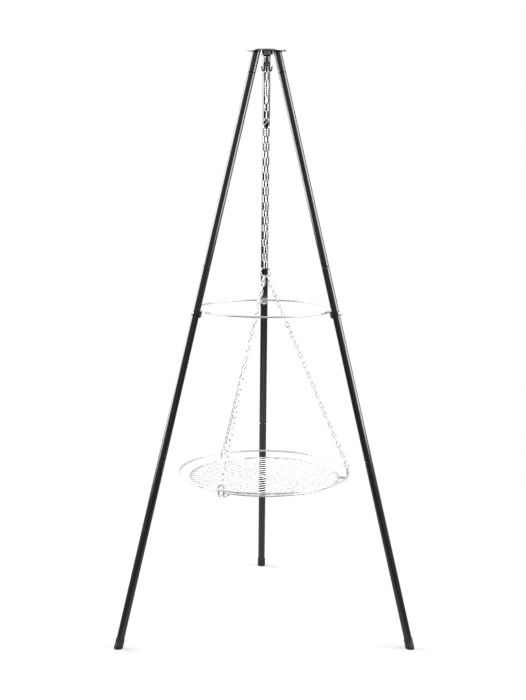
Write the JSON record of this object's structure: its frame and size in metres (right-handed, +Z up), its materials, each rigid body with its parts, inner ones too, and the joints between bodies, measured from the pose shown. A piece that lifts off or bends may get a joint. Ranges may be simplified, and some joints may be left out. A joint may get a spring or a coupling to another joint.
{
  "type": "tripod grill",
  "caption": "Tall tripod of black plug-together tubes under a round head plate, braced by a wire ring, with a round grate hung on chains from a swivel hook.",
  "frame": {"origin": "on the floor, in the middle of the whole stand's bounding box; the tripod's own axis stands at x = 0, y = -0.1182", "axes": "+Z up, +Y towards the single rear leg, the open side between the two front legs faces -Y"},
  "size_m": [0.843, 0.735, 1.6567],
  "materials": {
    "black_paint": "gloss black enamel on steel tube",
    "foot_rubber": "satin black moulded cap",
    "chrome_wire": "bright chrome on steel wire",
    "chrome_turned": "bright chrome, turned or formed",
    "zinc_steel": "zinc-plated sheet steel",
    "blackened_steel": "blackened steel"
  },
  "bodies": {
    "frame": {"head_plate": "zinc_steel", "hub_collar": "chrome_turned", "lock_nut": "blackened_steel", "swivel_bushing": "chrome_turned", "leg_stub_left": "black_paint", "leg_stub_right": "black_paint", "leg_stub_rear": "black_paint", "upper_tube_left": "black_paint", "upper_tube_right": "black_paint", "upper_tube_rear": "black_paint", "middle_tube_left": "black_paint", "middle_tube_right": "black_paint", "middle_tube_rear": "black_paint", "spreader_ring": "chrome_wire", "spreader_tab_left": "zinc_steel", "spreader_tab_right": "zinc_steel", "spreader_tab_rear": "zinc_steel", "tab_bolt_left": "chrome_turned", "tab_bolt_right": "chrome_turned", "tab_bolt_rear": "chrome_turned", "tab_nut_left": "chrome_turned", "tab_nut_right": "chrome_turned", "tab_nut_rear": "chrome_turned"},
    "swivel_hook": {"hook": "blackened_steel"},
    "top_link": {"chain_link_1": "chrome_wire"},
    "chain": {"chain_link_2": "chrome_wire", "chain_link_3": "chrome_wire", "chain_link_4": "chrome_wire", "chain_link_5": "chrome_wire", "chain_link_6": "chrome_wire", "chain_link_7": "chrome_wire", "s_hook": "chrome_wire", "chain_run_left": "chrome_wire", "chain_run_right": "chrome_wire"},
    "grate_set": {"gather_ring": "chrome_wire", "grate_chain_right": "chrome_wire", "grate_chain_rear": "chrome_wire", "grate_chain_front": "chrome_wire", "grate_rim": "chrome_wire", "grate_bars": "chrome_wire"},
    "leg_end_left": {"lower_tube_left": "black_paint", "foot_cap_left": "foot_rubber"},
    "leg_end_right": {"lower_tube_right": "black_paint", "foot_cap_right": "foot_rubber"},
    "leg_end_rear": {"lower_tube_rear": "black_paint", "foot_cap_rear": "foot_rubber"}
  },
  "joints": [
    {"name": "hook_swivel", "type": "hinge", "parent": "frame", "child": "swivel_hook", "pos_m": [0, -0.11816, 1.6521], "axis": [0, 0, 1], "continuous": true},
    {"name": "chain_swing_x", "type": "hinge", "parent": "swivel_hook", "child": "top_link", "pos_m": [0, -0.11816, 1.6118], "axis": [1, 0, 0], "range_deg": [-1.75, 1.75]},
    {"name": "chain_swing_y", "type": "hinge", "parent": "top_link", "child": "chain", "pos_m": [0, -0.11816, 1.59095], "axis": [0, 1, 0], "range_deg": [-1.75, 1.75]},
    {"name": "height_adjust", "type": "slide", "parent": "chain", "child": "grate_set", "axis": [0, 0, 1], "range_m": [0, 0.1034], "deforming": ["chain_run_left", "chain_run_right"]},
    {"name": "leg_left_pull", "type": "slide", "parent": "frame", "child": "leg_end_left", "axis": [-0.2227, -0.1286, -0.9664], "range_m": [0, 0.045]},
    {"name": "leg_right_pull", "type": "slide", "parent": "frame", "child": "leg_end_right", "axis": [0.2227, -0.1286, -0.9664], "range_m": [0, 0.045]},
    {"name": "leg_rear_pull", "type": "slide", "parent": "frame", "child": "leg_end_rear", "axis": [0, 0.2571, -0.9664], "range_m": [0, 0.045]}
  ]
}
